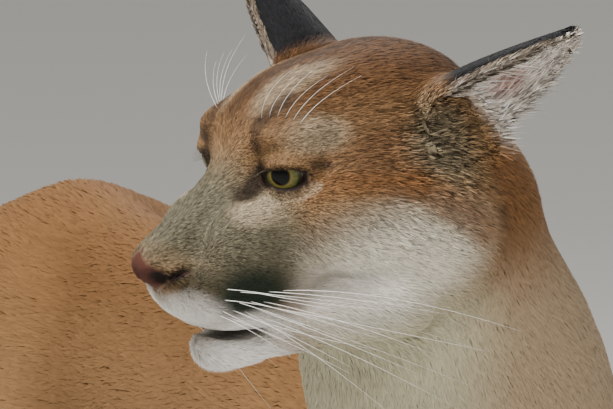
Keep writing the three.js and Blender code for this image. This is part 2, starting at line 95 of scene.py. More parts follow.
def fade(value, low, high):
    """1 up to low, 0 from high, and a smooth fall between them."""
    return 1.0 - ramp(value, low, high)


def mix(first, second, weight):
    """The first where the weight is 0 and the second where it is 1, with one weight for each row."""
    return first * (1.0 - weight[:, None]) + second * weight[:, None]


def turn_matrix(yaw, nod=0.0, roll=0.0):
    """A turn about Z by yaw, about Y by nod and about X by roll, in degrees."""
    turn = Matrix.Rotation(math.radians(yaw), 3, "Z")
    turn = turn @ Matrix.Rotation(math.radians(nod), 3, "Y")
    turn = turn @ Matrix.Rotation(math.radians(roll), 3, "X")
    return np.array(turn, np.float32)


HEAD_AXES = turn_matrix(HEAD_TURN, HEAD_NOD, HEAD_ROLL)


def to_head(p):
    """Points of the animal's own frame, in the head's frame."""
    return (p - vec(*EYES_AT)) @ HEAD_AXES


def from_head(p):
    """Points of the head's frame, in the animal's own frame."""
    return np.asarray(p, np.float32) @ HEAD_AXES.T + vec(*EYES_AT)


# Soft shapes: each is a function of points that is negative inside

def blend(a, b, soft):
    """Two shapes as one, rounded where they meet."""
    h = np.maximum(soft - np.abs(a - b), 0.0)
    return np.minimum(a, b) - h * h / (4.0 * soft)


def join(soft, distance, *others):
    """Several shapes as one, with the same roundness at each seam."""
    for other in others:
        distance = blend(distance, other, soft)
    return distance


def carve(soft, distance, tool):
    """A shape with a tool taken out of it, rounded along the cut."""
    return -blend(-distance, tool, soft)


def both_sides(p, soft=4.0):
    """Folds the right half onto the left, so that one shape serves for two, rounded at the midline."""
    folded = p.copy()
    folded[:, 1] = np.sqrt(p[:, 1] ** 2 + soft * soft) - soft
    return folded


def ellipsoid(p, centre, radii, splay=0.0):
    """Distance from an ellipsoid that is turned by splay degrees about Z."""
    q = p - vec(*centre)
    if splay:
        q = q @ turn_matrix(splay)
    r = vec(*radii)
    near = np.linalg.norm(q / r, axis=1)
    steep = np.maximum(np.linalg.norm(q / (r * r), axis=1), 1e-9)
    return near * (near - 1.0) / steep


def limb(p, start, end, thick_start, thick_end, flat=1.0):
    """Distance from a rod with round ends, narrower from side to side where flat is under 1."""
    squeeze = vec(1.0, 1.0 / flat, 1.0)
    along = (vec(*end) - vec(*start)) * squeeze
    q = (p - vec(*start)) * squeeze
    t = np.clip(q @ along / (along @ along), 0.0, 1.0)
    away = np.linalg.norm(q - t[:, None] * along, axis=1)
    return (away - thick_start - (thick_end - thick_start) * t) * flat


# Head, in its own frame: +X to the nose, origin midway between the eyes

EYE_CENTRE = (2.0, 34.0, 1.0)
EYE_SPLAY = 38.0
SOCKET_SPLAY = 40
LID_THICK = 2.4
LID_OPENING = (14.5, 44.0, -2.2)
LID_RADII = (10, 14, 5.8)
LEFT_EAR = {"base": (-99, 59, 12), "tip": (-157, 98, 55), "opens": (0.12, 0.79, -0.58)}
RIGHT_EAR = {"base": (-63, -55, 33), "tip": (-56, -96, 98), "opens": (0.5, -0.87, -0.03)}
EAR_HALF_WIDTH, EAR_HALF_THICK = 31.0, 3.6
EAR_CUP, EAR_CUP_LOSS, EAR_TIP_BEND = 25.0, 0.62, 6.0
EAR_ROOT, EAR_TAPER, EAR_LEAST_WIDTH, EAR_EDGE = 0.25, 0.6, 4.0, 2.0
LIP_FRONT, LIP_CORNER, LIP_SAG = (62.0, -84.0), (28.0, -90.0), 3.0

# Lumps of the head: centre and radii. One that lies beside the midline is on both sides.
BRAINCASE = (-69, 0, 7), (71, 57, 51)
FOREHEAD = (-20, 0, 7), (46, 43, 43)
CHEEK = (-34, 42, -30), (48, 30, 36)
JOWL = (-72, 42, -48), (44, 34, 44)
THROAT_TOP = (-62, 0, -68), (62, 46, 38)
BROW = (0, 27, 19), (19, 18, 12)
MUZZLE_SIDE = (20, 22, -46), (40, 22, 36)
MUZZLE_FRONT = (42, 0, -61), (33, 31, 27)
WHISKER_PAD = (46, 19, -62), (25, 19, 21)
NOSE_BALL = (76, 0, -44), (13, 15, 12)
NOSE_WING = (72, 12, -47), (9, 8, 7)
CHIN = (39, 0, -99), (20, 21, 16)
LOWER_LIP = (40, 0, -86), (20, 23, 9)
EYE_SOCKET = (12, 40, -1), (17, 15, 10)
NOSTRIL = (84, 8.5, -50), (8, 4.2, 4)

# Rods of the head: the two ends and the radius at each
NOSE_BRIDGE = (4, 0, -4), (68, 0, -41), 23, 15
JAWBONE = (28, 13, -95), (-46, 46, -80), 14, 26
NOSTRIL_SLIT = (80, 12, -49), (68, 19.5, -46), 2.4, 1.4
NOSE_GROOVE = (89, 0, -44), (78, 0, -60), 0.9, 0.9


def ear_axes(ear):
    """Root of an ear, the way up it, the way that it opens, and its height."""
    root = vec(*ear["base"])
    up = vec(*ear["tip"]) - root
    height = np.linalg.norm(up)
    up = up / height
    face = vec(*ear["opens"])
    return root, up, unit(face - (face @ up) * up), height


def ear_place(p, ear):
    """Height up the ear from 0 to 1, place across it from -1 to 1, and distance in front of its leaf."""
    root, up, face, height = ear_axes(ear)
    q = p - root
    h = q @ up / height
    rise = np.clip(h, 0.0, 1.0)
    sunk = np.clip(h, -EAR_ROOT, 0.0) / (1.05 * EAR_ROOT)
    width = EAR_HALF_WIDTH * (1.0 - rise) ** EAR_TAPER * np.sqrt(1.0 - sunk * sunk)
    width = np.maximum(EAR_LEAST_WIDTH, width)
    cup = EAR_CUP * (1.0 - EAR_CUP_LOSS * rise)
    side = q @ np.cross(up, face) / width
    middle = -cup * (1.0 - np.minimum(side * side, 1.3)) + EAR_TIP_BEND * rise * rise
    return h, side, q @ face - middle, rise, width, cup, height


def ear_leaf(p, ear):
    """Distance from an ear: a cupped leaf, thinner at its tip, with a rounded edge."""
    h, side, ahead, rise, width, cup, height = ear_place(p, ear)
    slant = np.hypot(1.0, 2.0 * cup * side / width)
    thick = np.abs(ahead) / slant - EAR_HALF_THICK * (1.0 - 0.25 * rise)
    beside = (np.abs(side) - 1.0) * width * 0.8
    edge = np.maximum.reduce([beside, (h - 1.0) * height, (-EAR_ROOT - h) * height])
    rounded = np.hypot(edge + EAR_EDGE, thick + EAR_EDGE) - EAR_EDGE
    return np.where((edge > -EAR_EDGE) & (thick > -EAR_EDGE), rounded, np.maximum(edge, thick))


def lip_distance(p):
    """Distance from the slit of the mouth, which runs across the muzzle in front of its corners."""
    share = np.maximum(p[:, 0] - LIP_CORNER[0], 0.0) / (LIP_FRONT[0] - LIP_CORNER[0])
    sag = 4.0 * LIP_SAG * share * np.maximum(1.0 - share, 0.0)
    line = LIP_CORNER[1] + (LIP_FRONT[1] - LIP_CORNER[1]) * share - sag
    return np.hypot(np.minimum(p[:, 0] - LIP_CORNER[0], 0.0), p[:, 2] - line)


def lip_gap(p):
    """Half the height of the slit, which is widest in its middle."""
    return 0.5 + 0.9 * ramp(p[:, 0], LIP_CORNER[0], 38.0) * fade(p[:, 0], 42.0, LIP_FRONT[0])


def head_shape(p):
    m, m3, m2 = both_sides(p), both_sides(p, 3.0), both_sides(p, 2.0)
    skull = join(
        20,
        ellipsoid(p, *BRAINCASE),
        ellipsoid(p, *FOREHEAD),
        ellipsoid(m, *CHEEK),
        ellipsoid(m, *JOWL),
        ellipsoid(p, *THROAT_TOP),
    )
    muzzle = join(12, limb(p, *NOSE_BRIDGE), ellipsoid(m, *MUZZLE_SIDE), ellipsoid(p, *MUZZLE_FRONT))
    nose = join(5, ellipsoid(p, *NOSE_BALL), ellipsoid(m2, *NOSE_WING))
    jaw = join(12, join(6, ellipsoid(p, *CHIN), ellipsoid(p, *LOWER_LIP)), limb(m3, *JAWBONE))
    face = join(14, skull, ellipsoid(m, *BROW), muzzle)
    face = join(8, face, ellipsoid(m3, *WHISKER_PAD))
    face = join(10, join(5, face, nose), jaw)
    face = carve(6, face, ellipsoid(m3, *EYE_SOCKET, SOCKET_SPLAY))
    face = join(5, face, ellipsoid(m3, EYE_CENTRE, (EYE_RADIUS + LID_THICK,) * 3))
    face = carve(2.5, face, ellipsoid(m3, LID_OPENING, LID_RADII, EYE_SPLAY))
    face = carve(3, face, ellipsoid(m2, *NOSTRIL))
    face = carve(2, face, limb(m2, *NOSTRIL_SLIT))
    face = carve(2, face, limb(p, *NOSE_GROOVE))
    face = carve(2, face, lip_distance(p) - lip_gap(p))
    return join(9, face, ear_leaf(p, LEFT_EAR), ear_leaf(p, RIGHT_EAR))


# Body

TAIL_PATH = (
    (-400, 0, 632), (-470, 0, 600), (-535, 4, 525), (-575, 8, 425), (-598, 12, 320),
    (-622, 18, 225), (-672, 26, 150), (-740, 34, 122), (-800, 40, 132),
)
TAIL_RADII = (42, 35, 31, 29, 28, 28, 29, 27, 18)
NECK_PATH = ((262, 0, 575), (331, -91, 705), (370, -142, 806))
NECK_RADII = (112, 84, 76)

# Masses of the trunk: two ends, the radius at each and the flatness, or centre and radii
RIBS = (215, 0, 535), (40, 0, 545), 132, 128, 0.8
WAIST = (40, 0, 545), (-210, 0, 572), 122, 102, 0.84
SPINE = (225, 0, SHOULDER_HEIGHT - BACK_THICK), (-320, 0, RUMP_HEIGHT - BACK_THICK), 42, BACK_THICK
RUMP = (-340, 0, 607), (114, 88, 98)
BREAST = (272, 0, 520), (76, 90, 102)
SHOULDER = (218, 50, 640), (300, 78, 490), 48, 62, 0.78
THIGH_FRONT = (-345, 56, 595), (-250, 86, 425), 94, 70, 0.74
THIGH_REAR = (-405, 48, 590), (-345, 74, 410), 56, 48, 0.84


def paw(p, x, y, size):
    toes = []
    for k in (-1.5, -0.5, 0.5, 1.5):
        knuckle = (x + 16 * size, y + k * 19 * size, 40 * size)
        tip = (x + (62 - 5 * k * k) * size, y + k * 22 * size, 19 * size)
        toes.append(limb(p, knuckle, tip, 18 * size, 16 * size))
    heel = ellipsoid(p, (x - 4 * size, y, 18 * size), (34 * size, 33 * size, 22 * size))
    back = ellipsoid(p, (x + 12 * size, y, 38 * size), (42 * size, 42 * size, 32 * size))
    return join(10, join(4, back, *toes), heel)


def front_leg(p, side):
    step = STEP_FRONT[side]
    top = (300, 80 * side, 495)
    elbow = (214, 84 * side, 405)
    forearm = (222 + step * 0.3, 82 * side, 300)
    wrist = (234 + step * 0.7, 80 * side, 160)
    ankle = (240 + step, 79 * side, 60)
    upper = join(
        22,
        limb(p, top, elbow, 60, 52, 0.84),
        limb(p, elbow, forearm, 50, 44, 0.9),
        limb(p, forearm, wrist, 43, 32),
    )
    return join(14, upper, limb(p, wrist, ankle, 33, 35), paw(p, ankle[0], ankle[1], PAW_SIZE))


def hind_leg(p, side):
    step = STEP_HIND[side]
    hock = (-410 + step * 0.7, 80 * side, 212)
    ankle = (-374 + step, 78 * side, 58)
    thigh, knee, shin = (-250, 88 * side, 430), (-240, 90 * side, 385), (-248, 90 * side, 392)
    hamstring, heel = (-330, 80 * side, 400), (hock[0] - 14, hock[1], 228)
    upper = join(
        22,
        limb(p, thigh, knee, 66, 58, 0.84),
        limb(p, shin, hock, 56, 28, 0.9),
        limb(p, hamstring, heel, 40, 19, 0.8),
    )
    return join(
        12,
        upper,
        ellipsoid(p, (hock[0] - 8, hock[1], 214), (28, 24, 30)),
        limb(p, hock, ankle, 27, 29),
        paw(p, ankle[0], ankle[1], PAW_SIZE * HIND_PAW_SHARE),
    )


def trunk(p):
    m = both_sides(p, 8.0)
    barrel = join(
        40,
        limb(p, *RIBS),
        limb(p, *WAIST),
        limb(p, *SPINE),
        ellipsoid(p, *RUMP),
        ellipsoid(p, *BREAST),
    )
    thigh = join(30, limb(m, *THIGH_FRONT), limb(m, *THIGH_REAR))
    return join(35, barrel, limb(m, *SHOULDER), thigh)


def rods(p, path, radii):
    """Distances from the rods that follow a path, with a radius for each of its places."""
    return [
        limb(p, start, end, thick_start, thick_end)
        for start, end, thick_start, thick_end in zip(path, path[1:], radii, radii[1:])
    ]


def whole(p):
    p = np.asarray(p, np.float32)
    legs = [leg(p, side) for leg in (front_leg, hind_leg) for side in (1, -1)]
    tail = join(6, *rods(p, TAIL_PATH, TAIL_RADII))
    neck = join(45, *rods(p, NECK_PATH, NECK_RADII))
    body = join(24, trunk(p), *legs)
    return join(22, join(45, join(30, body, tail), neck), head_shape(to_head(p)))


def coat_depth(p):
    """How far the skin lies under the tips of the coat."""
    q = to_head(p)
    head_near = fade(np.linalg.norm(q + vec(40, 0, 20), axis=1), 95.0, 190.0)
    depth = HEAD_COAT + (BODY_COAT - HEAD_COAT) * (1.0 - head_near)
    m = both_sides(q, 1.0)
    eye_near = fade(np.linalg.norm(m - vec(*EYE_CENTRE), axis=1), 18.0, 30.0)
    nose_near = fade(np.linalg.norm(q - vec(80, 0, -46), axis=1), 18.0, 34.0)
    ears = np.minimum(ear_leaf(q, LEFT_EAR), ear_leaf(q, RIGHT_EAR))
    depth = depth * (1.0 - 0.85 * np.maximum.reduce([eye_near, nose_near, fade(ears, 0.0, 7.0)]))
    return depth - (BODY_COAT - FOOT_COAT) * fade(p[:, 2], 40.0, 200.0) * (1.0 - head_near)


def skin_shape(p):
    """The whole animal, drawn in by the depth of its coat but not at its soles."""
    return whole(p) + coat_depth(p) * ramp(p[:, 2], -6.0, 8.0)


def slope(shape, p, reach=0.8):
    """The way straight out of a shape, from four samples about each point."""
    corners = ((1, -1, -1), (-1, -1, 1), (-1, 1, -1), (1, 1, 1))
    total = sum(vec(*c) * shape(p + vec(*c) * reach)[:, None] for c in corners)
    return unit_rows(total)


# A net over the skin, on a grid that is finest round the head

def grid_line(low, high, fine_low, fine_high):
    """Places along one axis, close together where they are fine and further apart away from there."""
    places = [low]
    while places[-1] < high:
        beyond = max(fine_low - places[-1], places[-1] - fine_high, 0.0)
        places.append(places[-1] + min(BODY_CELL, HEAD_CELL + CELL_GROWTH * beyond))
    return np.array(places, np.float32)


BLOCK = 8
BLOCKS_AT_ONCE = 1500
CORNERS = np.array([(i, j, k) for i in (0, 1) for j in (0, 1) for k in (0, 1)])
CORNER_PAIRS = [(a, b) for a in range(8) for b in range(a + 1, 8)]
CELL_EDGES = [(a, b) for a, b in CORNER_PAIRS if np.abs(CORNERS[a] - CORNERS[b]).sum() == 1]


def padded(line):
    """The line with steps added at its end, so that it fills whole blocks."""
    extra = -len(line) % BLOCK
    return np.concatenate([line, line[-1] + BODY_CELL * np.arange(1, extra + 1, dtype=np.float32)])


def sample(shape, lines):
    """The shape's value at each place of the grid, or at its block's middle far from the surface."""
    blocks = [len(line) // BLOCK for line in lines]
    values = np.empty([len(line) for line in lines], np.float32)
    v = values.reshape(blocks[0], BLOCK, blocks[1], BLOCK, blocks[2], BLOCK)
    v = v.transpose(0, 2, 4, 1, 3, 5)
    spans = [line.reshape(-1, BLOCK) for line in lines]
    number = np.stack(np.meshgrid(*[np.arange(b) for b in blocks], indexing="ij"), -1).reshape(-1, 3)
    middle = np.stack([spans[i].mean(1)[number[:, i]] for i in range(3)], 1)
    half = np.stack([(spans[i][:, -1] - spans[i][:, 0])[number[:, i]] / 2 for i in range(3)], 1)
    at_middle = shape(middle)
    v[number[:, 0], number[:, 1], number[:, 2]] = at_middle[:, None, None, None]
    near = number[np.abs(at_middle) < np.linalg.norm(half, axis=1) * 1.5 + 8.0]
    local = np.stack(np.meshgrid(*[np.arange(BLOCK)] * 3, indexing="ij"), -1).reshape(-1, 3)
    for start in range(0, len(near), BLOCKS_AT_ONCE):
        part = near[start:start + BLOCKS_AT_ONCE]
        index = part[:, None, :] * BLOCK + local[None]
        points = np.stack([lines[i][index[..., i]] for i in range(3)], -1).reshape(-1, 3)
        v[part[:, 0], part[:, 1], part[:, 2]] = shape(points).reshape(-1, BLOCK, BLOCK, BLOCK)
    return values


def net(shape, lines):
    """Points and four-sided faces over the shape's surface, a point in each cell that it crosses."""
    values = sample(shape, lines)
    inside = values < 0
    size = np.array(values.shape)
    total = np.zeros(size - 1, np.uint8)
    for c in CORNERS:
        total += inside[c[0]:size[0] - 1 + c[0], c[1]:size[1] - 1 + c[1], c[2]:size[2] - 1 + c[2]]
    cells = np.argwhere((total > 0) & (total < 8))
    number = np.full(size - 1, -1, np.int32)
    number[tuple(cells.T)] = np.arange(len(cells))
    corner = np.stack([values[tuple((cells + c).T)] for c in CORNERS], 1)
    share = np.zeros((len(cells), 3), np.float32)
    crossings = np.zeros(len(cells), np.float32)
    for a, b in CELL_EDGES:
        fa, fb = corner[:, a], corner[:, b]
        cross = (fa < 0) != (fb < 0)
        t = np.where(cross, fa / np.where(cross, fa - fb, 1.0), 0.0)
        share += np.where(cross[:, None], CORNERS[a] + t[:, None] * (CORNERS[b] - CORNERS[a]), 0.0)
        crossings += cross
    share = share / crossings[:, None]
    low = np.stack([lines[i][cells[:, i]] for i in range(3)], 1)
    high = np.stack([lines[i][cells[:, i] + 1] for i in range(3)], 1)
    points = low + share * (high - low)
    step = np.eye(3, dtype=int)
    quads = []
    for axis in range(3):
        u, w = [(1, 2), (2, 0), (0, 1)][axis]
        before = [slice(0, size[i] - 1) for i in range(3)]
        before[u], before[w] = slice(1, size[u] - 1), slice(1, size[w] - 1)
        after = list(before)
        after[axis] = slice(1, size[axis])
        a, b = inside[tuple(before)], inside[tuple(after)]
        for found, flip in ((a & ~b, False), (~a & b, True)):
            at = np.argwhere(found)
            at[:, u] += 1
            at[:, w] += 1
            ring = [at - step[u] - step[w], at - step[w], at, at - step[u]]
            ids = np.stack([number[tuple(r.T)] for r in ring], 1)
            quads.append(ids[:, ::-1] if flip else ids)
    return points, np.concatenate(quads)


def settled(shape, points, limit):
    """The points moved onto the surface, each by no more than the limit."""
    move = -shape(points)[:, None] * slope(shape, points)
    length = np.maximum(np.linalg.norm(move, axis=1, keepdims=True), 1e-6)
    return points + move * np.minimum(1.0, limit / length)


# Where the animal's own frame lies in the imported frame, from the two eyes

def box_centre(node):
    low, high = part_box(node)
    return np.array((low + high) / 2, np.float32)


eyes_middle = (box_centre("eye_left") + box_centre("eye_right")) / 2
SHIFT = eyes_middle - from_head([(EYE_CENTRE[0], 0.0, EYE_CENTRE[2])])[0] * MM


def to_row(p):
    """Millimetres in the animal's own frame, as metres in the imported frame."""
    return np.asarray(p, np.float32) * MM + SHIFT


# Colours and markings, with painted shade in the mouth, nostrils and under the jaw, and painted green
# reflected light on the muzzle and throat

def paint(*rgb):
    """A colour given as 0 to 255 values on screen, turned into linear light."""
    c = np.array(rgb, np.float32) / 255.0
    return np.where(c <= 0.04045, c / 12.92, ((c + 0.055) / 1.055) ** 2.4).astype(np.float32)


BODY_TAN = paint(130, 98, 64)
BACK_BROWN = paint(112, 76, 42)
CROWN = paint(86, 57, 33)
FACE_TAN = paint(132, 102, 70)
# Grey fur with a green tint painted in as reflected light from green surroundings
GREY_WITH_GREEN_REFLECTION = paint(100, 96, 78)
PALE_BEIGE = paint(180, 162, 134)
CREAM = paint(212, 204, 184)
WHITE = paint(234, 230, 222)
# The white throat painted darker and greener: painted shade and green reflected light under the jaw
SHADED_GREEN_THROAT = paint(188, 184, 154)
ORANGE = paint(118, 78, 44)
TEMPLE = paint(100, 72, 48)
DARK = paint(50, 40, 32)
# The black whisker patch, with a green tint painted in as reflected light from the surroundings
BLACK_WITH_GREEN_REFLECTION = paint(34, 42, 31)
# Dark skin of the lips and eyelid rims, also used as painted shade inside the mouth slit and the
# nostrils
DARK_SKIN_AND_SHADE = paint(38, 30, 27)
NOSE_PINK = paint(78, 48, 39)
EAR_BACK = paint(16, 15, 17)
EAR_INSIDE = paint(216, 206, 194)
EAR_PINK = paint(164, 122, 112)
EAR_FRINGE = paint(120, 106, 90)
EYE_SURROUND = paint(58, 44, 34)
IRIS_GREEN = paint(104, 104, 52)
IRIS_STREAK = paint(56, 64, 32)
IRIS_AMBER = paint(118, 104, 52)
IRIS_RIM = paint(40, 42, 28)
PUPIL_BLACK = paint(2, 2, 2)
WHISKER_WHITE = paint(238, 234, 226)
LASH_BROWN = paint(84, 74, 62)

# The eyelids' dark rim, the bare part of it, and the inside of the nostrils, which is painted dark as
# shade, for colours and bare skin
LID_RIM_RADII = (10, 16.5, 6.9)
LID_BARE_RADII = (10, 15, 6.6)
NOSTRIL_HOLE = (82, 9.5, -50), (8, 4.8, 4.4)
NOSTRIL_HOLE_SLIT = (80, 13, -50), (68, 20.5, -46), 3.4, 2.0

# Soft patches of the head: colour, strength, centre and radii, on both sides
HEAD_PATCHES = (
    (TEMPLE, 0.9, (-48, 60, 4), (52, 26, 20)),
    # The grey bridge and sides of the muzzle, tinted green as painted reflected light
    (GREY_WITH_GREEN_REFLECTION, 0.95, (46, 0, -24), (52, 36, 32)),
    (GREY_WITH_GREEN_REFLECTION, 0.9, (28, 32, -40), (42, 28, 30)),
    (PALE_BEIGE, 0.5, (-6, 15, 42), (40, 9, 16)),
    (PALE_BEIGE, 0.65, (-8, 40, 18), (19, 16, 11)),
    (PALE_BEIGE, 0.75, (29, 34, -16), (17, 14, 12)),
    (CREAM, 1.0, (-40, 62, -54), (56, 34, 34)),
    (WHITE, 0.6, (-10, 56, -78), (40, 30, 26)),
    # The white throat under the jaw, with painted shade and green reflected light
    (SHADED_GREEN_THROAT, 0.9, (-60, 40, -116), (90, 60, 40)),
    (WHITE, 1.0, (38, 10, -104), (32, 34, 17)),
    # Black whisker patches, tinted green as painted reflected light
    (BLACK_WITH_GREEN_REFLECTION, 1.0, (40, 36, -63), (28, 22, 19)),
    (BLACK_WITH_GREEN_REFLECTION, 0.7, (62, 20, -54), (16, 14, 9)),
    (WHITE, 1.0, (68, 12, -73), (20, 28, 15)),
    (WHITE, 1.0, (44, 32, -85), (30, 22, 11)),
    # Grey fur behind the ear, tinted green as painted reflected light
    (GREY_WITH_GREEN_REFLECTION, 0.7, (-84, 62, 4), (30, 24, 26)),
)
# Streaks of the head: colour, strength, start, end and width
HEAD_STREAKS = (
    (ORANGE, 0.6, (0, 50, -13), (-52, 66, -17), 7.0),
    (ORANGE, 0.6, (-52, 66, -17), (-90, 74, -46), 10.0),
    (ORANGE, 0.9, (-136, 60, -24), (-126, 66, -70), 20.0),
    (DARK, 0.5, (-114, 74, -40), (-112, 76, -60), 5.0),
    (DARK, 0.6, (15, 25, 16), (-4, 20, 33), 5.0),
    (DARK, 0.95, (20, 29, 1), (30, 22, -10), 7.0),
    (DARK, 0.6, (0, 50, 4), (-10, 54, 3), 2.6),
    (PALE_BEIGE, 0.4, (16, 43, -13), (-4, 51, -11), 3.0),
    (DARK, 0.4, (14, 0, 26), (-80, 0, 64), 3.6),
)


def lay(colours, colour, weight):
    """Lays a colour over others, with a weight of 0 to 1 at each place."""
    return colours + (colour - colours) * weight[:, None]


def body_colours(p):
    c = np.tile(BODY_TAN, (len(p), 1))
    c = lay(c, BACK_BROWN, 0.7 * ramp(p[:, 2], 560, 690))
    across = np.abs(p[:, 1])
    under = fade(p[:, 2], 400, 500) * ramp(p[:, 2], 330, 420) * fade(across, 50, 100)
    c = lay(c, CREAM, 0.85 * under * ramp(p[:, 0], -430, -380))
    inner_leg = fade(across, 48, 78) * fade(p[:, 2], 380, 470)
    c = lay(c, CREAM, 0.6 * inner_leg * ramp(p[:, 0], -490, -440))
    c = lay(c, PALE_BEIGE, 0.45 * fade(p[:, 2], 40, 170))
    tail_tip = fade(p[:, 0], -735, -690)
    c = lay(c, DARK, 0.95 * tail_tip)
    q = to_head(p)
    ahead_of_neck = p[:, 0] - 250.0 - 0.5 * (p[:, 2] - 575.0)
    neck_front = ramp(ahead_of_neck, -60, 60) * ramp(p[:, 2], 540, 720)
    c = lay(c, PALE_BEIGE, 0.6 * neck_front * fade(q[:, 2], -120, -40))
    # Painted shade and green reflected light over the white throat under the jaw
    throat = fade(q[:, 2], -110, -50) * ramp(q[:, 0], -130, -70) * ramp(p[:, 2], 560, 720)
    return lay(c, SHADED_GREEN_THROAT, 0.8 * throat)


draped_paths = {}


def draped(start, end):
    """Places along the surface of the head's left side between two points."""
    if (start, end) not in draped_paths:
        share = np.linspace(0.0, 1.0, 5, dtype=np.float32)[:, None]
        draped_paths[start, end] = on_surface(vec(*start) * (1 - share) + vec(*end) * share)
    return draped_paths[start, end]


def on_surface(q):
    """The nearest places on the head's skin, in its own frame."""
    spots = from_head(q)
    for _ in range(3):
        spots = settled(skin_shape, spots, 12.0)
    return to_head(spots)


def ear_colours(c, q, ear):
    """Lays an ear's dark back, pale inside, pink canal and grizzled fringe over the head's colours."""
    h, side, ahead, *_ = ear_place(q, ear)
    on_ear = ramp(h, 0.0, 0.14) * fade(np.abs(ahead), 7, 13) * fade(np.abs(side), 1.15, 1.4)
    inside = on_ear * (ahead >= 0)
    c = lay(c, EAR_BACK, on_ear * (ahead < 0))
    c = lay(c, EAR_INSIDE, inside)
    rear = side if ear is LEFT_EAR else -side
    c = lay(c, EAR_INSIDE, on_ear * ramp(rear, 0.78, 0.95))
    canal = np.hypot(rear - 0.35, 2.2 * (h - 0.3))
    c = lay(c, EAR_PINK, 0.8 * inside * fade(canal, 0.15, 0.5))
    front_edge = ramp(-rear, 0.72, 0.9) * fade(ahead, 4, 8) * (ahead > -3)
    return lay(c, EAR_FRINGE, 0.8 * on_ear * front_edge)


def head_colours(q):
    c = np.tile(FACE_TAN, (len(q), 1))
    c = lay(c, CROWN, 0.9 * ramp(q[:, 2], 4, 46))
    m = both_sides(q, 1.0)
    for colour, strength, centre, radii in HEAD_PATCHES:
        near = np.linalg.norm((m - vec(*centre)) / vec(*radii), axis=1)
        c = lay(c, colour, strength * fade(near, 0.45, 1.35))
    for colour, strength, start, end, width in HEAD_STREAKS:
        path = draped(start, end)
        away = np.minimum.reduce([limb(m, a, b, 0.0, 0.0) for a, b in zip(path, path[1:])])
        c = lay(c, colour, strength * fade(away, width * 0.5, width * 1.5))
    # The dark lip line, with painted shade inside the slit of the mouth
    c = lay(c, DARK_SKIN_AND_SHADE, fade(lip_distance(m) - lip_gap(m), 1.0, 2.2))
    eye = np.linalg.norm(m - vec(*EYE_CENTRE), axis=1)
    rim = ellipsoid(m, LID_OPENING, LID_RIM_RADII, EYE_SPLAY)
    c = lay(c, DARK_SKIN_AND_SHADE, fade(rim, 0.2, 1.7) * fade(eye, 20, 24))
    for ear in (LEFT_EAR, RIGHT_EAR):
        c = ear_colours(c, q, ear)
    c = lay(c, NOSE_PINK, nose_leather(q))
    # Painted shade inside the nostrils
    hole = np.minimum(ellipsoid(m, *NOSTRIL_HOLE), limb(m, *NOSTRIL_HOLE_SLIT))
    return lay(c, DARK_SKIN_AND_SHADE, fade(hole, -0.4, 1.2))


def nose_leather(q):
    """How far a point of the head is on the bare nose, 0 to 1."""
    m = np.abs(q[:, 1])
    top = q[:, 2] + 34.0 + 0.7 * m
    bottom = -59.0 + 0.5 * m - q[:, 2]
    return fade(np.maximum(top, bottom), -1.0, 1.5) * ramp(q[:, 0], 64, 68) * fade(m, 20, 23)


def head_share(p):
    """1 on the head, 0 on the body, with a soft edge behind the ears and the jaws."""
    q = to_head(p)
    along = (q + vec(96, 0, 52)) @ (vec(0.75, 0, 0.66))
    return ramp(along, -35.0, 15.0) * fade(np.linalg.norm(q, axis=1), 230, 260)


def markings(p):
    return mix(body_colours(p), head_colours(to_head(p)), head_share(p))


# The lie of the coat

BACKWARD, DOWN_LEG, OVER_TOES = (-1.0, 0.0, -0.22), (-0.15, 0.0, -1.0), (0.8, 0.0, -0.7)


def neck_share(p):
    """1 on the neck, 0 off it."""
    return ramp(p[:, 2], 600, 720) * ramp(p[:, 0], 190, 280)


def tail_way(p):
    """The way along the nearest stretch of the tail."""
    best, way = None, None
    for start, end in zip(TAIL_PATH, TAIL_PATH[1:]):
        away = limb(p, start, end, 0.0, 0.0)
        along = unit(vec(*end) - vec(*start))
        if best is None:
            best, way = away, np.tile(along, (len(p), 1))
        else:
            closer = away < best
            best = np.where(closer, away, best)
            way[closer] = along
    return way


def head_lie(q):
    """The way that the head's hair points, in its own frame: back over the head and up the ears."""
    ones = np.ones(len(q))
    side = np.tanh(q[:, 1] / 20.0)
    back = np.stack([-ones, 0.35 * side, np.where(q[:, 2] < -40, -0.25, 0.0)], 1)
    on_cheek = ramp(np.abs(q[:, 1]), 35, 60) * fade(q[:, 2], -30, 10)
    back = mix(back, np.stack([-ones, 0.2 * side, -0.55 * ones], 1), on_cheek)
    for ear in (LEFT_EAR, RIGHT_EAR):
        h, across, ahead, *_ = ear_place(q, ear)
        on_ear = ramp(h, 0.0, 0.25) * fade(np.abs(ahead), 8, 16) * (np.abs(across) < 1.4)
        back = mix(back, ear_axes(ear)[1], on_ear)
    return back.astype(np.float32)


def lie(p, normals):
    """The way that the hair points, along the surface."""
    way = np.tile(vec(*BACKWARD), (len(p), 1))
    way = mix(way, vec(*DOWN_LEG), fade(p[:, 2], 400, 520) * (p[:, 0] > -500))
    way = mix(way, vec(*OVER_TOES), fade(p[:, 2], 60, 100))
    way = mix(way, tail_way(p), fade(p[:, 0], -470, -430))
    way = mix(way, unit(vec(*NECK_PATH[0]) - vec(*NECK_PATH[-1])), neck_share(p))
    way = mix(way, head_lie(to_head(p)) @ HEAD_AXES.T, head_share(p))
    way = way - (way * normals).sum(1, keepdims=True) * normals
    return unit_rows(way)


# Meshes and materials

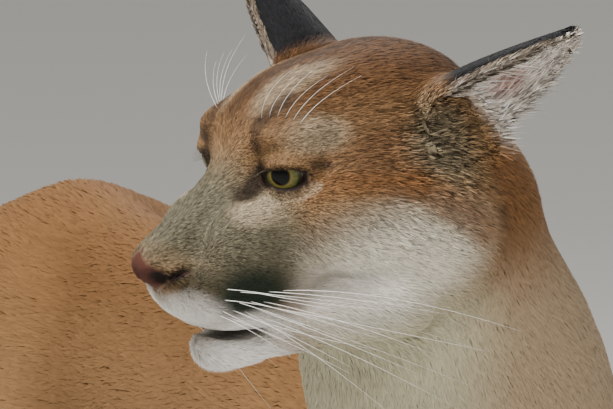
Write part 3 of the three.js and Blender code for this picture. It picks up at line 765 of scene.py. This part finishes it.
def mesh_object(name, points, faces, colours=None):
    """A smooth mesh from arrays, with its markings as a colour at each point."""
    mesh = bpy.data.meshes.new(name)
    corners = faces.shape[1]
    mesh.vertices.add(len(points))
    mesh.vertices.foreach_set("co", np.ascontiguousarray(points, np.float32).ravel())
    mesh.loops.add(faces.size)
    mesh.loops.foreach_set("vertex_index", np.ascontiguousarray(faces, np.int32).ravel())
    mesh.polygons.add(len(faces))
    mesh.polygons.foreach_set("loop_start", np.arange(len(faces), dtype=np.int32) * corners)
    mesh.polygons.foreach_set("loop_total", np.full(len(faces), corners, np.int32))
    mesh.polygons.foreach_set("use_smooth", np.full(len(faces), True))
    if colours is not None:
        layer = mesh.color_attributes.new("Marking", "FLOAT_COLOR", "POINT")
        rgba = np.concatenate([np.clip(colours, 0, 1), np.ones((len(colours), 1))], 1)
        layer.data.foreach_set("color", rgba.astype(np.float32).ravel())
    mesh.update(calc_edges=True)
    made = bpy.data.objects.new(name, mesh)
    bpy.context.scene.collection.objects.link(made)
    return made


def new_material(name, roughness, colour=None, **sockets):
    material = bpy.data.materials.new(name)
    material.use_nodes = True
    shader = material.node_tree.nodes["Principled BSDF"]
    shader.inputs["Roughness"].default_value = roughness
    if colour is not None:
        shader.inputs["Base Color"].default_value = (*[float(c) for c in colour], 1.0)
    for socket, value in sockets.items():
        shader.inputs[socket.replace("_", " ")].default_value = value
    return material


def marked_material(name, roughness, **sockets):
    """A material that takes its colour from the markings."""
    material = new_material(name, roughness, **sockets)
    nodes, links = material.node_tree.nodes, material.node_tree.links
    marking = nodes.new("ShaderNodeAttribute")
    marking.attribute_name = "Marking"
    links.new(marking.outputs["Color"], nodes["Principled BSDF"].inputs["Base Color"])
    return material


def add_grain(material, scale, strength, depth):
    """A fine bumpy grain: its scale across a metre, its strength and its depth in metres."""
    nodes, links = material.node_tree.nodes, material.node_tree.links
    noise = nodes.new("ShaderNodeTexNoise")
    noise.inputs["Scale"].default_value = scale
    place = nodes.new("ShaderNodeTexCoord")
    links.new(place.outputs["Object"], noise.inputs["Vector"])
    bump = nodes.new("ShaderNodeBump")
    bump.inputs["Strength"].default_value = strength
    bump.inputs["Distance"].default_value = depth
    links.new(noise.outputs["Fac"], bump.inputs["Height"])
    links.new(bump.outputs["Normal"], nodes["Principled BSDF"].inputs["Normal"])


def show(piece, material):
    """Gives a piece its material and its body."""
    piece.data.materials.append(material)
    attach(piece, "root")


# Skin

def skin_net():
    lines = [padded(grid_line(*limits)) for limits in zip(NET_LOW, NET_HIGH, HEAD_LOW, HEAD_HIGH)]
    points, quads = net(skin_shape, lines)
    points = settled(skin_shape, points, 2.0)
    points[:, 2] = np.maximum(points[:, 2], 0.0)
    return points, quads


def unwrap(piece):
    """Gives the piece the flat map OFBake, and returns the map's place of each corner of each face."""
    bpy.context.view_layer.objects.active = piece
    piece.select_set(True)
    bpy.ops.object.mode_set(mode="EDIT")
    bpy.ops.mesh.select_all(action="SELECT")
    bpy.ops.uv.smart_project(angle_limit=math.radians(66), island_margin=0.001)
    bpy.ops.object.mode_set(mode="OBJECT")
    piece.data.uv_layers[0].name = "OFBake"
    places = np.empty(len(piece.data.loops) * 2, np.float32)
    piece.data.uv_layers["OFBake"].data.foreach_get("uv", places)
    return places.reshape(-1, 4, 2)


skin_points, skin_quads = skin_net()
skin_normals = slope(whole, skin_points, 1.5)
skin = mesh_object("skin", to_row(skin_points), skin_quads, markings(skin_points))
skin_material = marked_material("cougar skin", 0.75, Specular_IOR_Level=0.12)
add_grain(skin_material, 900.0, 0.25, 0.0006)
show(skin, skin_material)
fleshy = [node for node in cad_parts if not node.startswith("eye_")]
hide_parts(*fleshy)
skin_uv = unwrap(skin)


# Coat

# A tuft's points are its two root corners, its two middle corners and its tip
TUFT_FACES = np.array([(0, 1, 2), (0, 2, 3), (3, 2, 4)])
# Brightness at each of a tuft's five points: darker at the root as painted shade under the coat, a
# little lighter at the tip
TUFT_PAINTED_SHADE = np.array([0.8, 0.8, 1.0, 1.0, 1.15], np.float32)
TUFT_ON_MAP = np.array([(-1, -1), (1, -1), (1, 0), (-1, 0), (0, 1)], np.float32) * 0.0015
TUFT_SWAY = 0.16
TUFT_ROOT_DEPTH = 0.4
PEPPER_AT, PEPPER_RADII = (-84, 66, 6), (44, 34, 34)


def roots(count, weight):
    """Places on the skin, more of them where the weight is larger."""
    corner = skin_points[skin_quads]
    diagonals = corner[:, 2] - corner[:, 0], corner[:, 3] - corner[:, 1]
    area = np.linalg.norm(np.cross(*diagonals), axis=1) / 2
    chance = area * weight(corner.mean(1))
    face = random.choice(len(skin_quads), count, p=chance / chance.sum())
    u, v = random.random((2, count, 1), dtype=np.float32)
    share = np.stack([(1 - u) * (1 - v), u * (1 - v), u * v, (1 - u) * v], 1)
    place = (corner[face] * share).sum(1)
    normal = (skin_normals[skin_quads[face]] * share).sum(1)
    uv = (skin_uv[face] * share).sum(1)
    return place, unit_rows(normal), uv


def bare(p):
    """Where no hair grows: nose leather, lips, eyelid rims and the soles."""
    q = to_head(p)
    m = both_sides(q, 1.0)
    share = head_share(p)
    rim = ellipsoid(m, LID_OPENING, LID_BARE_RADII, EYE_SPLAY)
    gone = np.maximum(nose_leather(q), fade(lip_distance(m) - lip_gap(m), 0.4, 1.4))
    gone = np.maximum(gone, fade(rim, 0.6, 1.6))
    return np.where(p[:, 2] < 3.0, 1.0, gone * share)


def ticking(p):
    """Where the hairs are banded dark and pale: the head above the whiskers."""
    return head_share(p) * ramp(to_head(p)[:, 2], -62, -34)


def clear_of_skin(p, height):
    """Lifts the points that would dip under the skin in its hollows."""
    for _ in range(2):
        depth = height - skin_shape(p)
        low = depth > 0.2
        p = p.copy()
        p[low] += slope(skin_shape, p[low], 1.5) * depth[low, None]
    return p


def tuft_points(place, normal, length, width, lift):
    """The five points of each tuft, a slim leaf that rises from the skin and tapers to a tip."""
    way = lie(place, normal)
    sway = random.normal(0.0, TUFT_SWAY, (len(place), 1)).astype(np.float32)
    way = unit_rows(way + np.cross(way, normal) * sway)
    sideways = np.cross(way, normal) * (width * 0.5)[:, None]
    rise = normal * (length * lift)[:, None]
    run = way * length[:, None]
    base = place - normal * TUFT_ROOT_DEPTH
    middle = clear_of_skin(place + run * 0.5 + rise * 0.62, length * lift * 0.35)
    tip = clear_of_skin(place + run + rise * 0.8, length * lift * 0.5)
    narrow = sideways * 0.8
    verts = np.stack([base - sideways, base + sideways, middle + narrow, middle - narrow, tip], 1)
    verts[:, :, 2] = np.maximum(verts[:, :, 2], 0.3)
    return verts


def tuft_tones(place):
    """One colour for each tuft: the marking under it, shaded by chance and ticked dark or pale."""
    count = len(place)
    tone = markings(place)
    ticked = ticking(place)[:, None]
    spread = 0.06 + 0.07 * head_share(place)[:, None]
    shade = random.normal(1.0, spread).clip(0.7, 1.3).astype(np.float32)
    from_pepper = (to_head(place) - vec(*PEPPER_AT)) / vec(*PEPPER_RADII)
    pepper = fade(np.linalg.norm(from_pepper, axis=1), 0.6, 1.2)[:, None]
    tick = (random.random((count, 1)) < (0.34 + 0.1 * pepper) * ticked) * (0.55 + 0.25 * pepper)
    pale = (random.random((count, 1)) < (0.2 + 0.2 * pepper) * ticked) * (0.45 + 0.9 * pepper)
    return tone * shade * (1.0 - tick) * (1.0 + pale)


coat_material = marked_material("cougar coat", 0.62, Specular_IOR_Level=0.12)


def coat_piece(name, place, normal, uv, sizes):
    verts = tuft_points(place, normal, *sizes)
    # Each tuft's colour, darkened towards its root as painted shade
    colours = tuft_tones(place)[:, None] * TUFT_PAINTED_SHADE[None, :, None]
    first = np.arange(len(place))[:, None] * verts.shape[1]
    faces = (first[:, :, None] + TUFT_FACES[None]).reshape(-1, 3)
    piece = mesh_object(name, to_row(verts.reshape(-1, 3)), faces, colours.reshape(-1, 3))
    on_map = (uv[:, None] + TUFT_ON_MAP[None])[:, TUFT_FACES]
    layer = piece.data.uv_layers.new(name="OFBake")
    layer.data.foreach_set("uv", np.clip(on_map, 0.0, 1.0).astype(np.float32).ravel())
    upright = unit_rows(normal + 0.35 * lie(place, normal))
    normals = np.repeat(upright, verts.shape[1], axis=0)
    piece.data.normals_split_custom_set_from_vertices(normals)
    show(piece, coat_material)


def grow(name, count, weight, sizes):
    """Covers a region with tufts, in pieces of a limited size."""
    place, normal, uv = roots(count, weight)
    keep = random.random(count) > bare(place)
    place, normal, uv = place[keep], normal[keep], uv[keep]
    length, width, lift = sizes(place)
    length = length * random.uniform(0.7, 1.15, len(place)).astype(np.float32)
    for n, start in enumerate(range(0, len(place), TUFTS_A_PIECE)):
        part = slice(start, start + TUFTS_A_PIECE)
        part_sizes = length[part], width[part], lift[part]
        coat_piece(f"{name}_{n + 1}", place[part], normal[part], uv[part], part_sizes)


def face_weight(p):
    """Where the head's tufts stand: closest on the muzzle."""
    from_muzzle = np.linalg.norm(to_head(p) - vec(30, 0, -30), axis=1)
    return head_share(p) * (1.0 + 1.4 * fade(from_muzzle, 60, 110))


def face_sizes(p):
    """Length, width and lift of the head's tufts: short on the muzzle, longer behind and under it."""
    q = to_head(p)
    back = fade(q[:, 0], -80, 50)
    low = fade(q[:, 2], -100, -50)
    length = 4.0 + 5.5 * back + 4.0 * low * back
    m = both_sides(q, 1.0)
    chin = fade(q[:, 2], -104, -92) * ramp(q[:, 0], 0, 30)
    length = length + 4.0 * chin
    near_eye = fade(np.linalg.norm(m - vec(12, 40, 0), axis=1), 16, 34)
    length = length * (1.0 - 0.45 * near_eye)
    lift = 0.24 - 0.05 * back
    h, side, ahead, *_ = ear_place(q, LEFT_EAR)
    in_ear = (ahead > 0) * (ahead < 14) * (np.abs(side) < 1.1)
    tuft = ramp(h, -0.1, 0.1) * fade(h, 0.5, 0.8) * in_ear
    ears = fade(np.minimum(ear_leaf(q, LEFT_EAR), ear_leaf(q, RIGHT_EAR)), 0.0, 6.0)
    length = np.minimum(length, 5.0 + 20.0 * (1.0 - ears)) + 10.0 * tuft * random.random(len(p))
    return length, 0.62 + 0.35 * back, lift * (1.0 - 0.5 * ears)


def body_weight(p):
    """Where the body's tufts stand: closest on the neck and the front of the shoulders."""
    on_neck = 1.0 + 3.0 * ramp(p[:, 2], 560, 700) * ramp(p[:, 0], 120, 260)
    return (1.0 - head_share(p)) * on_neck


def body_sizes(p):
    """Length, width and lift of the body's tufts: short on the feet, slim on the neck."""
    foot = fade(p[:, 2], 60, 260)
    neck = neck_share(p)
    length = 18.0 - 10.0 * foot - 5.0 * neck
    return length, 4.2 - 2.3 * foot - 2.5 * neck, np.full(len(p), 0.09)


tuft_share = 1.0
grow("coat_head", int(FACE_TUFTS * tuft_share), face_weight, face_sizes)
grow("coat_body", int(BODY_TUFTS * tuft_share), body_weight, body_sizes)


# Eyes

EYE_RINGS, EYE_ROUND = 60, 96
CORNEA_RISE = 0.045
IRIS_ANGLE = 0.74
PUPIL_ANGLE = 0.37
GAZE_DROP = 4.0


def ball_faces(rings, around):
    """Triangles over rings of points from a ball's front to its rear, with a point at each end."""
    faces = []
    for ring in range(rings - 1):
        for s in range(around):
            n = (s + 1) % around
            faces.append((ring * around + s, (ring + 1) * around + s, (ring + 1) * around + n))
            faces.append((ring * around + s, (ring + 1) * around + n, ring * around + n))
    front, rear = rings * around, rings * around + 1
    last = (rings - 1) * around
    for s in range(around):
        n = (s + 1) % around
        faces.append((front, s, n))
        faces.append((rear, last + n, last + s))
    return np.array(faces)


def eye_colours(angle, turn):
    """Colours by the angle from the eye's axis and the turn round it: surround, iris and pupil."""
    streaks = 0.5 + 0.5 * np.sin(turn * 41 + 3 * np.sin(turn * 7)) * np.sin(turn * 17 + 1.3)
    surround = np.tile(EYE_SURROUND, (len(angle), 1))
    iris = lay(np.tile(IRIS_GREEN, (len(angle), 1)), IRIS_STREAK, streaks * 0.7)
    iris = lay(iris, IRIS_AMBER, fade(angle, PUPIL_ANGLE, PUPIL_ANGLE + 0.2))
    iris = lay(iris, IRIS_RIM, ramp(angle, IRIS_ANGLE - 0.14, IRIS_ANGLE))
    c = mix(surround, iris, fade(angle, IRIS_ANGLE, IRIS_ANGLE + 0.05))
    return lay(c, PUPIL_BLACK, fade(angle, PUPIL_ANGLE - 0.02, PUPIL_ANGLE + 0.03))


def eyeball(name, node, side, material):
    angles = (np.linspace(0.0, 1.0, EYE_RINGS + 1) ** 1.4 * math.pi)[1:-1]
    turns = np.linspace(0, 2 * math.pi, EYE_ROUND, endpoint=False)
    angle, turn = [grid.ravel() for grid in np.meshgrid(angles, turns, indexing="ij")]
    bulge = 1.0 + CORNEA_RISE * fade(angle, 0.35, 0.95)
    ball = np.stack([np.cos(angle), np.sin(angle) * np.cos(turn), np.sin(angle) * np.sin(turn)], 1)
    ball = np.concatenate([ball * bulge[:, None], [(1.0 + CORNEA_RISE, 0, 0), (-1.0, 0, 0)]])
    angle = np.concatenate([angle, [0.0, math.pi]])
    turn = np.concatenate([turn, [0.0, 0.0]])
    gaze = HEAD_AXES @ turn_matrix(EYE_SPLAY * side, GAZE_DROP)
    place = box_centre(node) + ball.astype(np.float32) @ gaze.T * (EYE_RADIUS * MM)
    faces = ball_faces(len(angles), EYE_ROUND)
    piece = mesh_object(name, place, faces, eye_colours(angle, turn))
    show(piece, material)
    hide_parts(node)


wet_eye = marked_material(
    "wet eye", 0.3, Coat_Weight=0.25, Coat_Roughness=0.02, Specular_IOR_Level=0.05
)
eyeball("eyeball_left", "eye_left", 1, wet_eye)
eyeball("eyeball_right", "eye_right", -1, wet_eye)


# Whiskers, brow hairs, ear hairs and lashes

HAIR_STEPS, HAIR_SIDES, HAIR_TAPER = 9, 5, 0.82
WHISKER_ROWS, WHISKER_COLUMNS = 4, 5
BROW_HAIRS = 6
EAR_HAIRS = 150
LASHES = 22
LASH_LENGTH = 6.5
WHISKER_THICK, BROW_THICK, EAR_HAIR_THICK, LASH_THICK = 0.25, 0.16, 0.26, 0.14


def hair_points(root, out, bend, length, thick):
    """Rings of points along an arc: a root, a way out and a way that it bends to."""
    out, bend = unit(np.array(out, float)), np.array(bend, float)
    shares = np.linspace(0, 1, HAIR_STEPS)
    spine = [np.array(root) + out * length * share + bend * length * share * share for share in shares]
    points = []
    for n, spot in enumerate(spine):
        ahead = unit(spine[min(n + 1, HAIR_STEPS - 1)] - spine[max(n - 1, 0)])
        u = unit(np.cross(ahead, (0.3, 0.5, 0.8)))
        w = np.cross(ahead, u)
        radius = thick * (1.0 - HAIR_TAPER * n / (HAIR_STEPS - 1))
        for k in range(HAIR_SIDES):
            turn = 2 * math.pi * k / HAIR_SIDES
            points.append(spot + radius * (u * math.cos(turn) + w * math.sin(turn)))
    return points


def hair_faces(first):
    """Triangles round one hair and over its two ends, from the number of its first point."""
    faces = []
    for n in range(HAIR_STEPS - 1):
        for k in range(HAIR_SIDES):
            a = first + n * HAIR_SIDES + k
            b = first + n * HAIR_SIDES + (k + 1) % HAIR_SIDES
            faces.append((a, b, b + HAIR_SIDES))
            faces.append((a, b + HAIR_SIDES, a + HAIR_SIDES))
    end = first + (HAIR_STEPS - 1) * HAIR_SIDES
    for k in range(1, HAIR_SIDES - 1):
        faces.append((first, first + k + 1, first + k))
        faces.append((end, end + k, end + k + 1))
    return faces


def hairs(name, paths, thick, material):
    """One piece of slim tapered rods, one for each path."""
    points, faces = [], []
    for path in paths:
        faces += hair_faces(len(points))
        points += hair_points(*path, thick)
    piece = mesh_object(name, to_row(from_head(np.array(points))), np.array(faces))
    show(piece, material)


def whisker_paths(side):
    """Four rows on the pad; the rear ones are longest and all sweep back and down."""
    paths = []
    for row in range(WHISKER_ROWS):
        for column in range(WHISKER_COLUMNS):
            x = 54.0 - 8.5 * column + 2.5 * row + random.uniform(-1.5, 1.5)
            z = -58.0 - 6.0 * row - 1.5 * column + random.uniform(-1.0, 1.0)
            root = on_surface(np.array([(x, 38.0 * side, z)]))[0]
            length = 48.0 + 15.0 * column + random.uniform(-10, 14)
            droop = 0.10 + 0.16 * row + 0.10 * random.normal()
            out = (-0.62 - 0.06 * column, side * (0.72 + 0.10 * random.normal()), -droop)
            bend = (-0.26, -0.20 * side, -0.22 + 0.12 * random.normal())
            paths.append((root, out, bend, length))
    return paths


def brow_paths(side):
    """A fan of hairs that stands up from the brow."""
    paths = []
    for n in range(BROW_HAIRS):
        root = on_surface(np.array([(8.0 - 2.0 * n, (24.0 + 3.5 * n) * side, 24.0)]))[0]
        out = (0.25 - 0.16 * n, 0.55 * side, 1.0)
        paths.append((root, out, (-0.45, 0.1 * side, -0.12), 30.0 + random.uniform(-4, 14)))
    return paths


def ear_hair_paths(ear, front):
    """Long pale hairs that fan out over the opening of an ear from its front rim and its root."""
    base, up, face, height = ear_axes(ear)
    across = np.cross(up, face) * front
    paths = []
    for _ in range(EAR_HAIRS):
        h, side = random.uniform(-0.02, 0.42), random.uniform(-0.15, 0.85)
        rise = max(h, 0.0)
        width = EAR_HALF_WIDTH * (1.0 - rise) ** EAR_TAPER
        middle = -EAR_CUP * (1.0 - EAR_CUP_LOSS * rise) * (1.0 - side * side)
        root = base + up * h * height + across * side * width + face * (middle + 3.0)
        out = 0.75 * up - (0.2 + 0.5 * side) * across + 0.32 * face + 0.12 * random.normal(size=3)
        bend = 0.12 * up + 0.10 * random.normal(size=3)
        paths.append((root, out, bend, random.uniform(13.0, 27.0)))
    return paths


def lash_paths(side):
    """Short lashes along the upper lid."""
    paths = []
    axes = turn_matrix(EYE_SPLAY * side)
    centre = np.array((EYE_CENTRE[0], EYE_CENTRE[1] * side, EYE_CENTRE[2]))
    for n in range(LASHES):
        turn = math.pi * (0.08 + 0.84 * n / (LASHES - 1))
        root = axes @ vec(13.5, 13.5 * math.cos(turn), 5.0 * math.sin(turn) - 1.0) + centre
        out = axes @ vec(0.8, 0.25 * math.cos(turn), -0.25)
        paths.append((root, out, (0.0, 0.0, 0.2), LASH_LENGTH))
    return paths


whisker_material = new_material("whisker", 0.35, WHISKER_WHITE)
hairs("whiskers", whisker_paths(1) + whisker_paths(-1), WHISKER_THICK, whisker_material)
hairs("brow_hairs", brow_paths(1) + brow_paths(-1), BROW_THICK, whisker_material)
ear_hairs = ear_hair_paths(LEFT_EAR, -1.0) + ear_hair_paths(RIGHT_EAR, 1.0)
hairs("ear_hairs", ear_hairs, EAR_HAIR_THICK, whisker_material)
lash_material = new_material("lash", 0.5, LASH_BROWN)
hairs("lashes", lash_paths(1) + lash_paths(-1), LASH_THICK, lash_material)


# Floor, light and camera

FLOOR_SIZE = 14.0
FLOOR_COLOUR = (0.62, 0.61, 0.58)
WORLD_COLOUR = (0.92, 0.90, 0.86, 1.0)
WORLD_STRENGTH = 0.56
# Area lights: place from the head and size, in metres, and power in watts
LIGHTS = {
    "key": ((0.3, -1.2, 2.3), 1.2, 150.0),
    "fill": ((2.4, 0.4, 0.3), 2.4, 24.0),
    "rim": ((-1.6, 1.4, 1.8), 1.6, 40.0),
}
# The camera: degrees round and up from the floor, metres from its aim, and the photo's size in pixels
CAMERA_AZIMUTH = 60.0
CAMERA_ELEVATION = 10.5
CAMERA_DISTANCE = 2.6
MM_PER_PIXEL = 0.565
EYES_PIXEL = (259.0, 160.0)
PHOTO_WIDE, PHOTO_HIGH = 613, 409
SENSOR_WIDTH = 36.0
NEAREST, FARTHEST = 0.05, 50.0


def floor():
    bpy.ops.mesh.primitive_plane_add(size=FLOOR_SIZE, location=(0.0, 0.0, 0.0))
    made = bpy.context.object
    made.name = "floor"
    made.data.materials.append(new_material("pale floor", 0.9, FLOOR_COLOUR))


def area_light(name, place, aim, size, power):
    light = bpy.data.lights.new(name, "AREA")
    light.size = size
    light.energy = power
    made = bpy.data.objects.new(name, light)
    made.location = place
    made.rotation_mode = "QUATERNION"
    made.rotation_quaternion = (aim - place).to_track_quat("-Z", "Y")
    bpy.context.scene.collection.objects.link(made)


def surroundings():
    world = bpy.data.worlds.new("studio")
    world.use_nodes = True
    background = world.node_tree.nodes["Background"]
    background.inputs["Color"].default_value = WORLD_COLOUR
    background.inputs["Strength"].default_value = WORLD_STRENGTH
    bpy.context.scene.world = world


def photo_camera(head_at):
    a, e = math.radians(CAMERA_AZIMUTH), math.radians(CAMERA_ELEVATION)
    back = Vector((math.sin(a) * math.cos(e), -math.cos(a) * math.cos(e), math.sin(e)))
    right = Vector((math.cos(a), math.sin(a), 0.0))
    up = back.cross(right)
    pixel = MM_PER_PIXEL * MM
    across, down = PHOTO_WIDE / 2 - EYES_PIXEL[0], PHOTO_HIGH / 2 - EYES_PIXEL[1]
    aim = head_at + right * across * pixel - up * down * pixel
    data = bpy.data.cameras.new("photo")
    data.sensor_width = SENSOR_WIDTH
    data.lens = SENSOR_WIDTH * CAMERA_DISTANCE / (PHOTO_WIDE * pixel)
    data.clip_start, data.clip_end = NEAREST, FARTHEST
    made = bpy.data.objects.new("photo", data)
    made.location = aim + back * CAMERA_DISTANCE
    made.rotation_mode = "QUATERNION"
    made.rotation_quaternion = Matrix((right, up, back)).transposed().to_quaternion()
    bpy.context.scene.collection.objects.link(made)
    bpy.context.scene.camera = made


floor()
head_at = Vector(eyes_middle)
for light_name, (offset, size, power) in LIGHTS.items():
    area_light(light_name, head_at + Vector(offset), head_at, size, power)
surroundings()
photo_camera(head_at)
